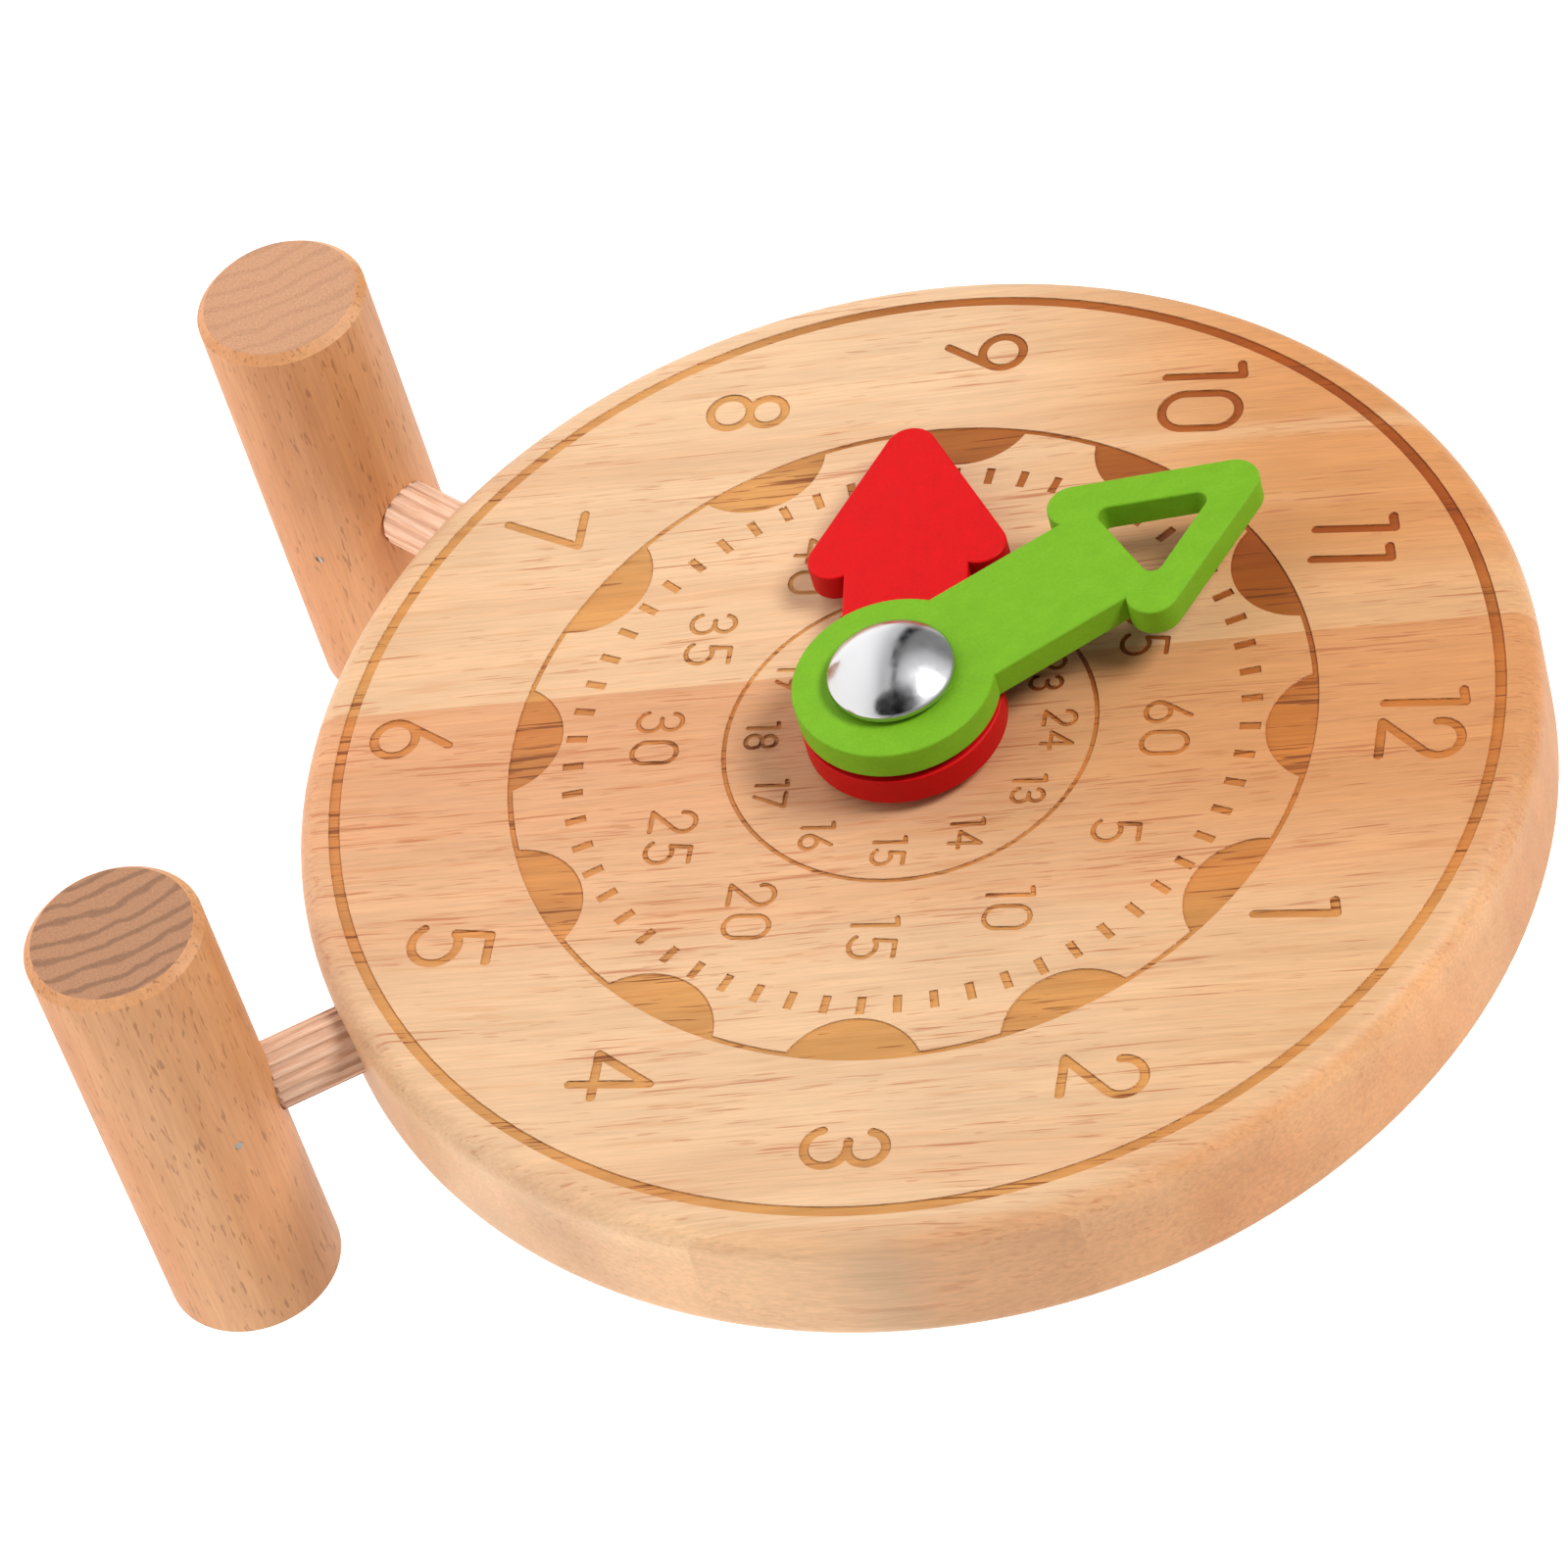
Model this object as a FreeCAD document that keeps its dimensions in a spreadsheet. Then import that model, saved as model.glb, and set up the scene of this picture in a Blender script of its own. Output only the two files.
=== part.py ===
"""Wooden teaching clock: an engraved round dial on two round feet, with two hands that turn by hand.

The clock stands upright. +Z is up (towards 12 o'clock), +X is towards 3 o'clock, the dial faces -Y,
and the origin is on the table under the middle of the clock, where the feet touch Z = 0. Millimetres.

Every piece is modelled in the dial's own frame (x towards 3 o'clock, y towards 12, z out of the dial's
face, z = 0 on that face) and is then stood up by its Placement.
"""

import FreeCAD, Part
import math
import os
import Sketcher
from FreeCAD import Placement, Rotation, Vector

DIMENSIONS = [
    ("dial_radius", 70.0, "radius of the round dial"),
    ("dial_thickness", 17.6, "thickness of the dial"),
    ("rim_round", 3.0, "rounding of the dial's two rim edges"),
    ("dial_height", 86.0, "height of the dial's centre above the table"),
    ("dial_face_setback", 5.5, "distance of the dial's face in front of the feet's middle"),
    ("board_tilt", 5.0, "degrees that the glued boards lean from the 12-6 line"),
    ("left_joint", -9.7, "distance of the left glue joint from the dial's centre"),
    ("right_joint", 66.8, "distance of the right glue joint from the dial's centre"),
    ("engraving_depth", 0.2, "depth of every engraved mark"),
    ("outer_ring_radius", 65.5, "middle of the outer engraved ring"),
    ("outer_ring_width", 1.3, "width of the outer engraved ring"),
    ("middle_ring_radius", 45.3, "middle of the ring that the lobes hang from"),
    ("middle_ring_width", 0.65, "width of that ring"),
    ("inner_ring_radius", 21.0, "middle of the inner engraved ring"),
    ("inner_ring_width", 0.55, "width of the inner engraved ring"),
    ("lobe_radius", 8.3, "radius of the circle that each lobe is cut from"),
    ("lobe_distance", 48.2, "distance of a lobe's circle from the dial's centre"),
    ("tick_inner", 37.0, "inner end of a minute tick"),
    ("tick_outer", 39.4, "outer end of a minute tick"),
    ("tick_width", 1.0, "width of a minute tick"),
    ("foot_radius", 10.0, "radius of a foot"),
    ("foot_length", 60.0, "length of a foot, front to back"),
    ("foot_chamfer", 1.0, "chamfer on a foot's end edges"),
    ("foot_angle", 31.5, "degrees of a foot from straight down, seen from the dial's centre"),
    ("dowel_radius", 4.0, "radius over the ridges of a foot's dowel"),
    ("dowel_neck_radius", 3.4, "radius of the dowel's end inside the foot"),
    ("dowel_depth", 7.2, "distance of the dowel's axis behind the dial's face"),
    ("dowel_socket", 11.0, "depth of the dowel in the dial"),
    ("dowel_neck_length", 9.0, "length of the dowel's narrow end in the foot"),
    ("dowel_seat", 0.9, "depth of the wide part of the dowel in the foot"),
    ("dowel_chamfer", 0.6, "chamfer at the end of the dowel's ridges"),
    ("flute_radius", 0.5, "radius of a flute in the dowel"),
    ("brad_radius", 0.5, "radius of the brad that pins a dowel"),
    ("brad_length", 15.0, "length of that brad"),
    ("brad_inset", 3.1, "distance of the brad from the foot's axis, towards the dial"),
    ("brad_offset", 2.6, "distance of the brad from the dowel's axis, front to back"),
    ("post_radius", 3.0, "radius of the pivot post"),
    ("hand_bore_radius", 3.05, "radius of the hole in a hand"),
    ("hand_thickness", 3.6, "thickness of a hand"),
    ("hand_edge_round", 0.25, "softening of a hand's edges"),
    ("end_play", 0.05, "gap on each face of a hand"),
    ("hub_radius", 11.4, "radius of a hand's round end"),
    ("shaft_width", 14.2, "width of a hand's straight part"),
    ("minute_reach", 25.9, "distance from the pivot to the minute hand's arrowhead"),
    ("hour_reach", 19.9, "distance from the pivot to the hour hand's arrowhead"),
    ("head_rise", 25.0, "length of the arrowhead before its tip is rounded"),
    ("barb_half_width", 14.6, "half the arrowhead's width before its barbs are rounded"),
    ("barb_sweep", 2.6, "distance that the barbs sweep back"),
    ("head_corner", 3.0, "radius of the arrowhead's three corners"),
    ("window_base", 3.9, "distance of the window from the arrowhead's root"),
    ("window_rise", 12.3, "height of the triangular window before rounding"),
    ("window_half_width", 6.6, "half the window's width before rounding"),
    ("window_corner", 1.2, "radius of the window's corners"),
    ("dial_washer_thickness", 1.4, "washer between the dial and the hour hand"),
    ("hand_washer_thickness", 0.8, "washer between the two hands"),
    ("head_washer_thickness", 0.5, "washer under the post's domed head"),
    ("washer_radius", 6.0, "outer radius of the three washers"),
    ("cap_radius", 7.15, "radius of the post's domed head"),
    ("cap_rise", 2.8, "height of the dome above its rim"),
    ("cap_rim", 0.8, "thickness of the dome's rim"),
    ("post_recess", 1.6, "distance of the post's end inside the dial's back"),
    ("screw_radius", 2.0, "radius of the back screw's shank and of its thread in the post"),
    ("screw_length", 13.0, "length of the back screw under its head"),
    ("screw_head_radius", 4.0, "radius of the back screw's head"),
    ("screw_head_height", 2.4, "height of the back screw's head"),
    ("cross_width", 0.9, "width of a slot of the cross recess"),
    ("cross_length", 4.2, "length of a slot of the cross recess"),
    ("cross_depth", 1.5, "depth of the cross recess"),
    ("back_washer_radius", 7.0, "outer radius of the washer on the dial's back"),
    ("back_washer_thickness", 1.0, "thickness of the washer on the dial's back"),
]

# Clock angles, in degrees clockwise from 12, that the hands show at rest, a little before nine.
MINUTE_HAND_ANGLE = 321.3
HOUR_HAND_ANGLE = 263.6

# Numerals: text, distance of its middle from the dial's centre, clock angle.
HOUR_NUMERALS = [
    ("12", 57.2, 0.0), ("1", 52.5, 29.0), ("2", 55.4, 60.0), ("3", 57.2, 89.0), ("4", 54.2, 119.0),
    ("5", 55.9, 148.5), ("6", 57.6, 180.5), ("7", 57.0, 213.5), ("8", 55.6, 242.0), ("9", 57.3, 271.0),
    ("10", 56.4, 299.0), ("11", 54.3, 330.0),
]
MINUTE_NUMERAL_DISTANCE = 28.9
DAY_NUMERAL_DISTANCE = 16.8
# Height over all and stroke width of the three sizes of numeral.
HOUR_NUMERAL_SIZE = (10.0, 1.1)
MINUTE_NUMERAL_SIZE = (5.7, 0.6)
DAY_NUMERAL_SIZE = (4.1, 0.55)
# Gap between two digits of a numeral, as a share of the digits' height.
DIGIT_GAP = 0.3

FLUTES = 16
TICKS = 60
HOURS = 12
CUT_MARGIN = 2.0

doc = FreeCAD.newDocument("TeachingClock")
sheet = doc.addObject("Spreadsheet::Sheet", "dimensions")
for row, (alias, size, note) in enumerate(DIMENSIONS, start=1):
    sheet.set("A%d" % row, note)
    sheet.set("B%d" % row, str(size))
    sheet.setAlias("B%d" % row, alias)
doc.recompute()


def dim(alias):
    """The value of one cell of the sheet."""
    return float(getattr(sheet, alias))


def cell(alias):
    """The name of one cell, for an expression."""
    return "dimensions." + alias


# ---- primitives and booleans ---------------------------------------------------------------------

def bind(obj, sizes):
    """Binds properties of an object to expressions."""
    for name, expression in sizes.items():
        obj.setExpression(name, expression)
    return obj


def cylinder(name, radius, height, placement=None):
    """A cylinder along its own z axis, its radius and height given as expressions."""
    obj = bind(doc.addObject("Part::Cylinder", name), {"Radius": radius, "Height": height})
    if placement is not None:
        obj.Placement = placement
    return obj


def box(name, length, width, height, placement):
    """A box from its own origin, its three sizes given as expressions."""
    obj = bind(doc.addObject("Part::Box", name), {"Length": length, "Width": width, "Height": height})
    obj.Placement = placement
    return obj


def joined(name, pieces):
    obj = doc.addObject("Part::MultiFuse", name)
    obj.Shapes = pieces
    return obj


def cut(name, base, tool):
    obj = doc.addObject("Part::Cut", name)
    obj.Base = base
    obj.Tool = tool
    return obj


def common(name, base, tool):
    obj = doc.addObject("Part::Common", name)
    obj.Base = base
    obj.Tool = tool
    return obj


def lifted(z, x=0.0, y=0.0):
    return Placement(Vector(x, y, z), Rotation())


def turned(angle):
    """A turn about the dial's axis, counter-clockwise, in degrees."""
    return Placement(Vector(0, 0, 0), Rotation(Vector(0, 0, 1), angle))


def polar(distance, clock_angle, z=0.0):
    """A point of the dial at a distance from its centre and a clockwise angle from 12."""
    a = math.radians(clock_angle)
    return Vector(distance * math.sin(a), distance * math.cos(a), z)


# ---- PartDesign helpers --------------------------------------------------------------------------

def new_body(name):
    return doc.addObject("PartDesign::Body", name)


def flat_sketch(body, name):
    """A sketch on the body's own XY plane."""
    sketch = body.newObject("Sketcher::SketchObject", name)
    plane = [f for f in body.Origin.OriginFeatures if f.Role == "XY_Plane"][0]
    sketch.AttachmentSupport = (plane, [""])
    sketch.MapMode = "FlatFace"
    return sketch


def circle_sketch(body, name, radius):
    """A circle about the origin, its radius an expression."""
    sketch = flat_sketch(body, name)
    sketch.addGeometry(Part.Circle(Vector(0, 0, 0), Vector(0, 0, 1), 1.0), False)
    sketch.addConstraint(Sketcher.Constraint("Coincident", 0, 3, -1, 1))
    index = sketch.addConstraint(Sketcher.Constraint("Radius", 0, 1.0))
    sketch.renameConstraint(index, "radius")
    sketch.setExpression("Constraints.radius", radius)
    return sketch


def polygon_sketch(body, name, corners):
    """A closed polygon. Each corner is an x and a y: a sign, a distance and that distance's expression.

    A distance in a sketch has no sign, so a corner left of or below the origin is drawn on that side
    and its distance is measured from the corner to the origin. Sign 0 puts the corner on the axis.
    """
    sketch = flat_sketch(body, name)
    points = []
    for (x_sign, x_value, _), (y_sign, y_value, _) in corners:
        points.append(Vector(x_sign * x_value, y_sign * y_value, 0))
    count = len(points)
    for i in range(count):
        sketch.addGeometry(Part.LineSegment(points[i], points[(i + 1) % count]), False)
    for i in range(count):
        sketch.addConstraint(Sketcher.Constraint("Coincident", i, 2, (i + 1) % count, 1))
    for i, corner in enumerate(corners):
        for kind, (sign, size, expression) in zip(("DistanceX", "DistanceY"), corner):
            if sign == 0:
                axis = -2 if kind == "DistanceX" else -1
                sketch.addConstraint(Sketcher.Constraint("PointOnObject", i, 1, axis))
                continue
            ends = (-1, 1, i, 1) if sign > 0 else (i, 1, -1, 1)
            index = sketch.addConstraint(Sketcher.Constraint(kind, *ends, size))
            label = "corner%d%s" % (i, kind[-1])
            sketch.renameConstraint(index, label)
            sketch.setExpression("Constraints." + label, expression)
    return sketch


def pad(body, name, sketch, length):
    feature = body.newObject("PartDesign::Pad", name)
    feature.Profile = sketch
    feature.setExpression("Length", length)
    return feature


def pocket_through(body, name, sketch):
    """A pocket that goes through the whole body, on the side where a pad from the same plane lies."""
    feature = body.newObject("PartDesign::Pocket", name)
    feature.Profile = sketch
    feature.Type = "ThroughAll"
    feature.Reversed = True
    return feature


def edge_names(feature, chosen):
    """The names of the edges of a feature's shape for which chosen(edge) is true."""
    names = []
    for i, edge in enumerate(feature.Shape.Edges, start=1):
        if chosen(edge):
            names.append("Edge%d" % i)
    return names


def upright_at(points):
    """A test that is true for a straight edge along z that passes through one of some points."""
    def test(edge):
        ends = [v.Point for v in edge.Vertexes]
        if len(ends) != 2 or abs(ends[0].x - ends[1].x) > 1e-6 or abs(ends[0].y - ends[1].y) > 1e-6:
            return False
        return any(math.hypot(ends[0].x - x, ends[0].y - y) < 0.01 for x, y in points)
    return test


def fillet(body, name, base, names, radius):
    feature = body.newObject("PartDesign::Fillet", name)
    feature.Base = (base, names)
    feature.setExpression("Radius", radius)
    return feature


# ---- numerals ------------------------------------------------------------------------------------
# A digit is its width and a list of strokes, in a cell one unit high, measured along the middle of the
# strokes: a line is two points, an arc is a centre, a radius and its start and end angles,
# counter-clockwise.

TAIL = math.radians(30)
LOOP = 0.27
DIGITS = {
    "0": (0.60, [("arc", (0.3, 0.7), 0.3, 0, 180), ("line", (0, 0.7), (0, 0.3)),
                 ("arc", (0.3, 0.3), 0.3, 180, 360), ("line", (0.6, 0.3), (0.6, 0.7))]),
    "1": (0.20, [("line", (0.2, 0), (0.2, 1)), ("line", (0.2, 1), (0, 0.96))]),
    "2": (0.54, [("arc", (0.27, 0.73), 0.27, -35, 190), ("line", (0.491, 0.575), (0, 0)),
                 ("line", (0, 0), (0.54, 0))]),
    "3": (0.56, [("arc", (0.28, 0.765), 0.235, -90, 170), ("arc", (0.28, 0.265), 0.265, -165, 90),
                 ("line", (0.19, 0.53), (0.28, 0.53))]),
    "4": (0.66, [("line", (0.46, 0), (0.46, 1)), ("line", (0.46, 1), (0, 0.3)),
                 ("line", (0, 0.3), (0.66, 0.3))]),
    "5": (0.57, [("line", (0.55, 1), (0.13, 1)), ("line", (0.13, 1), (0.1, 0.55)),
                 ("arc", (0.27, 0.3), 0.3, -145, 125)]),
    "6": (0.54, [("arc", (LOOP, LOOP), LOOP, 0, 360),
                 ("line", (LOOP - LOOP * math.cos(TAIL), LOOP + LOOP * math.sin(TAIL)), (0.38, 1))]),
    "7": (0.55, [("line", (0, 1), (0.55, 1)), ("line", (0.55, 1), (0.15, 0))]),
    "8": (0.53, [("arc", (0.265, 0.765), 0.235, 0, 360), ("arc", (0.265, 0.265), 0.265, 0, 360)]),
    "9": (0.54, [("arc", (LOOP, 1 - LOOP), LOOP, 0, 360),
                 ("line", (LOOP + LOOP * math.cos(TAIL), 1 - LOOP - LOOP * math.sin(TAIL)), (0.16, 0))]),
}


def round_end(centre, radius, depth):
    return Part.makeCylinder(radius, depth, centre)


def line_stroke(start, end, width, depth):
    """A straight stroke with round ends, as solids that overlap."""
    along = end - start
    across = Vector(-along.y, along.x, 0).normalize() * (width / 2)
    corners = [start + across, end + across, end - across, start - across]
    outline = Part.makePolygon(corners + corners[:1])
    bar = Part.Face(outline).extrude(Vector(0, 0, depth))
    return [bar, round_end(start, width / 2, depth), round_end(end, width / 2, depth)]


def arc_stroke(centre, radius, start, end, width, depth):
    """A bent stroke with round ends, as solids that overlap."""
    up = Vector(0, 0, 1)
    outer = Part.makeCylinder(radius + width / 2, depth, centre, up, end - start)
    inner = Part.makeCylinder(radius - width / 2, depth, centre, up, end - start)
    bend = outer.cut(inner)
    bend.rotate(centre, up, start)
    if end - start >= 360:
        return [bend]
    ends = []
    for angle in (start, end):
        a = math.radians(angle)
        ends.append(round_end(centre + Vector(math.cos(a), math.sin(a), 0) * radius, width / 2, depth))
    return [bend] + ends


def numeral(text, height, width, middle, depth):
    """The solid of a numeral, centred on a point, from z = -depth up to CUT_MARGIN above the face."""
    scale = height - width
    total = sum(DIGITS[d][0] for d in text) + DIGIT_GAP * (len(text) - 1)
    corner = middle + Vector(-total / 2 * scale, -scale / 2, -depth)
    tall = depth + CUT_MARGIN
    solids = []
    for digit in text:
        advance, strokes = DIGITS[digit]
        for stroke in strokes:
            if stroke[0] == "line":
                start, end = [corner + Vector(x, y, 0) * scale for x, y in stroke[1:]]
                solids += line_stroke(start, end, width, tall)
            else:
                centre = corner + Vector(stroke[1][0], stroke[1][1], 0) * scale
                solids += arc_stroke(centre, stroke[2] * scale, stroke[3], stroke[4], width, tall)
        corner += Vector(advance + DIGIT_GAP, 0, 0) * scale
    whole = solids[0]
    for solid in solids[1:]:
        whole = whole.fuse(solid)
    if abs(whole.BoundBox.YLength - height) > 0.01 * height:
        raise RuntimeError("numeral %s is %.2f mm high" % (text, whole.BoundBox.YLength))
    return whole.removeSplitter()


def engraved_numerals():
    """All numerals of the dial as one shape: hours 1 to 12, minutes 5 to 60 and hours 13 to 24."""
    depth = dim("engraving_depth")
    shapes = []
    for text, distance, angle in HOUR_NUMERALS:
        shapes.append(numeral(text, *HOUR_NUMERAL_SIZE, polar(distance, angle), depth))
    for hour in range(1, HOURS + 1):
        angle = 360 / HOURS * hour
        minutes = polar(MINUTE_NUMERAL_DISTANCE, angle)
        shapes.append(numeral(str(5 * hour), *MINUTE_NUMERAL_SIZE, minutes, depth))
        afternoon = polar(DAY_NUMERAL_DISTANCE, angle)
        shapes.append(numeral(str(HOURS + hour), *DAY_NUMERAL_SIZE, afternoon, depth))
    feature = doc.addObject("Part::Feature", "numerals_cut")
    feature.Shape = Part.makeCompound(shapes)
    return feature


# ---- dial ----------------------------------------------------------------------------------------

def ring_cut(name, radius, width):
    """An engraved ring, given the names of the cells of its middle radius and its width."""
    floor = lifted(-dim("engraving_depth"))
    tall = "%s + %g" % (cell("engraving_depth"), CUT_MARGIN)
    outer = cylinder(name + "_outside", "%s + %s / 2" % (cell(radius), cell(width)), tall, floor)
    inner = cylinder(name + "_inside", "%s - %s / 2" % (cell(radius), cell(width)), tall, floor)
    return cut(name, outer, inner)


def lobes_cut():
    """Twelve rounded lobes that hang inwards from the middle ring, one at each hour."""
    depth = dim("engraving_depth")
    tall = "%s + %g" % (cell("engraving_depth"), CUT_MARGIN)
    circles = []
    for hour in range(HOURS):
        centre = polar(dim("lobe_distance"), 360 / HOURS * hour, -depth)
        place = Placement(centre, Rotation())
        circles.append(cylinder("lobe_%d" % hour, cell("lobe_radius"), tall, place))
    inside = cylinder("lobe_limit", cell("middle_ring_radius"), tall, lifted(-depth))
    return common("lobes_cut", joined("lobe_circles", circles), inside)


def ticks_cut():
    """Sixty short radial marks."""
    ticks = []
    corner = lifted(-dim("engraving_depth"), -dim("tick_width") / 2, dim("tick_inner"))
    for minute in range(TICKS):
        length = "%s - %s" % (cell("tick_outer"), cell("tick_inner"))
        tall = "%s + %g" % (cell("engraving_depth"), CUT_MARGIN)
        placement = turned(-360 / TICKS * minute) * corner
        ticks.append(box("tick_%d" % minute, cell("tick_width"), length, tall, placement))
    return joined("ticks_cut", ticks)


def dial_blank():
    """The plain round dial, with its rounded rim and its hole for the pivot post."""
    body = new_body("dial_blank")
    outline = circle_sketch(body, "dial_circle", cell("dial_radius"))
    disc = pad(body, "dial_disc", outline, cell("dial_thickness"))
    disc.Reversed = True
    doc.recompute()
    rims = edge_names(disc, lambda edge: len(edge.Vertexes) == 1)
    rounded = fillet(body, "dial_rim", disc, rims, cell("rim_round"))
    doc.recompute()
    hole = body.newObject("PartDesign::Pocket", "dial_hole")
    hole.Profile = circle_sketch(body, "hole_circle", cell("post_radius"))
    hole.Type = "ThroughAll"
    doc.recompute()
    removed = rounded.Shape.Volume - body.Shape.Volume
    expected = math.pi * dim("post_radius") ** 2 * dim("dial_thickness")
    if abs(removed - expected) > 0.01 * expected:
        raise RuntimeError("the dial's hole removed %.1f mm3, not %.1f" % (removed, expected))
    return body


def foot_turn(side):
    """The turn that carries +x to a foot: side is -1 for the left foot and +1 for the right."""
    return turned(-90 + side * dim("foot_angle"))


def foot_distance():
    """Distance of a foot's axis from the dial's centre."""
    return (dim("dial_height") - dim("foot_radius")) / math.cos(math.radians(dim("foot_angle")))


def along_x(x, z):
    """A placement whose z axis lies along +x, through (x, 0, z)."""
    return Placement(Vector(x, 0, z), Rotation(Vector(0, 1, 0), 90))


def along_y(x, y, z):
    """A placement whose z axis lies along +y, from (x, y, z)."""
    return Placement(Vector(x, y, z), Rotation(Vector(1, 0, 0), -90))


def dowel_mouth():
    """Distance from the dial's centre to where the dowel's wide part ends, inside the foot."""
    return foot_distance() - dim("foot_radius") + dim("dowel_seat")


def dial_sockets():
    """The two holes in the rim that the dowels are glued into."""
    sockets = []
    start = dim("dial_radius") - dim("dowel_socket")
    for side, name in ((-1, "left"), (1, "right")):
        length = cell("dowel_socket") + " + %g" % CUT_MARGIN
        placement = foot_turn(side) * along_x(start, -dim("dowel_depth"))
        sockets.append(cylinder("socket_" + name, cell("dowel_radius"), length, placement))
    return joined("dial_sockets", sockets)


def dial_boards():
    """The dial's boards, glued edge to edge: the engraved disc, divided along its glue joints."""
    marks = [
        ring_cut("outer_ring_cut", "outer_ring_radius", "outer_ring_width"),
        ring_cut("middle_ring_cut", "middle_ring_radius", "middle_ring_width"),
        ring_cut("inner_ring_cut", "inner_ring_radius", "inner_ring_width"),
        lobes_cut(),
        ticks_cut(),
    ]
    engraved = cut("engraved_marks", dial_blank(), joined("marks_cut", marks))
    numbered = cut("engraved_dial", engraved, engraved_numerals())
    drilled = cut("drilled_dial", numbered, dial_sockets())
    reach = dim("dial_radius") + CUT_MARGIN
    strips = {
        "dial_board_left": (-reach, "%s + %g" % (cell("left_joint"), reach)),
        "dial_board_middle": (dim("left_joint"), "%s - %s" % (cell("right_joint"), cell("left_joint"))),
        "dial_board_right": (dim("right_joint"), "%g - %s" % (reach, cell("right_joint"))),
    }
    boards = []
    for name, (start, width) in strips.items():
        place = turned(dim("board_tilt")) * lifted(-dim("dial_thickness") - CUT_MARGIN, start, -reach)
        tall = "%s + %g" % (cell("dial_thickness"), 2 * CUT_MARGIN)
        strip = box(name + "_strip", width, "%g" % (2 * reach), tall, place)
        boards.append((common(name, drilled, strip), Placement()))
    return boards


# ---- feet ----------------------------------------------------------------------------------------

def foot_pieces(side, name):
    """A foot, its fluted dowel into the rim and the brad that pins the dowel, along the dial's +x."""
    middle = -dim("dial_face_setback")
    dowel_z = -dim("dowel_depth")
    centre = foot_distance()
    mouth = dowel_mouth()
    brad_z = dowel_z + side * dim("brad_offset")

    body = new_body("foot_blank_" + name)
    outline = circle_sketch(body, "foot_circle_" + name, cell("foot_radius"))
    rod = pad(body, "foot_rod_" + name, outline, cell("foot_length"))
    doc.recompute()
    bevel = body.newObject("PartDesign::Chamfer", "foot_ends_" + name)
    bevel.Base = (rod, edge_names(rod, lambda edge: len(edge.Vertexes) == 1))
    bevel.setExpression("Size", cell("foot_chamfer"))
    body.Placement = lifted(middle - dim("foot_length") / 2, centre)

    wide_start = dim("dial_radius") - dim("dowel_socket")
    wide_length = mouth - wide_start
    wide = cylinder("dowel_rod_" + name, cell("dowel_radius"), "%.6f" % wide_length,
                    along_x(wide_start, dowel_z))
    doc.recompute()
    bevelled = doc.addObject("Part::Chamfer", "dowel_bevel_" + name)
    bevelled.Base = wide
    bevelled.Edges = [(i, dim("dowel_chamfer"), dim("dowel_chamfer"))
                      for i, edge in enumerate(wide.Shape.Edges, start=1) if len(edge.Vertexes) == 1]
    flutes = []
    for i in range(FLUTES):
        a = 2 * math.pi * (i + 0.5) / FLUTES
        place = along_x(wide_start - CUT_MARGIN, dowel_z)
        place.Base += Vector(0, math.sin(a), math.cos(a)) * (dim("dowel_radius") + 0.1)
        flutes.append(cylinder("flute_%s_%d" % (name, i), cell("flute_radius"),
                               "%.6f" % (wide_length + 2 * CUT_MARGIN), place))
    fluted = cut("dowel_fluted_" + name, bevelled, joined("flutes_" + name, flutes))
    neck_length = cell("dowel_neck_length") + " + %g" % CUT_MARGIN
    neck = cylinder("dowel_neck_" + name, cell("dowel_neck_radius"), neck_length,
                    along_x(mouth - CUT_MARGIN, dowel_z))
    whole = joined("dowel_whole_" + name, [fluted, neck])

    face_y = math.sqrt(dim("foot_radius") ** 2 - dim("brad_inset") ** 2)
    brad_x = centre - dim("brad_inset")
    brad_place = along_y(brad_x, face_y - dim("brad_length"), brad_z)
    brad = cylinder("foot_brad_" + name, cell("brad_radius"), cell("brad_length"), brad_place)
    hole_length = cell("brad_length") + " + %g" % CUT_MARGIN
    brad_hole = cylinder("brad_hole_" + name, cell("brad_radius"), hole_length, brad_place)
    dowel = cut("foot_dowel_" + name, whole, brad_hole)

    seat_length = "%s + %g" % (cell("dowel_seat"), CUT_MARGIN)
    seat = cylinder("foot_seat_" + name, cell("dowel_radius"), seat_length,
                    along_x(centre - dim("foot_radius") - CUT_MARGIN, dowel_z))
    bore = cylinder("foot_bore_" + name, cell("dowel_neck_radius"), neck_length,
                    along_x(mouth - CUT_MARGIN, dowel_z))
    foot = cut("foot_" + name, body, joined("foot_holes_" + name, [seat, bore, brad_hole]))
    turn = foot_turn(side)
    return [(foot, turn), (dowel, turn), (brad, turn * brad.Placement)]


# ---- hands ---------------------------------------------------------------------------------------

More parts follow.
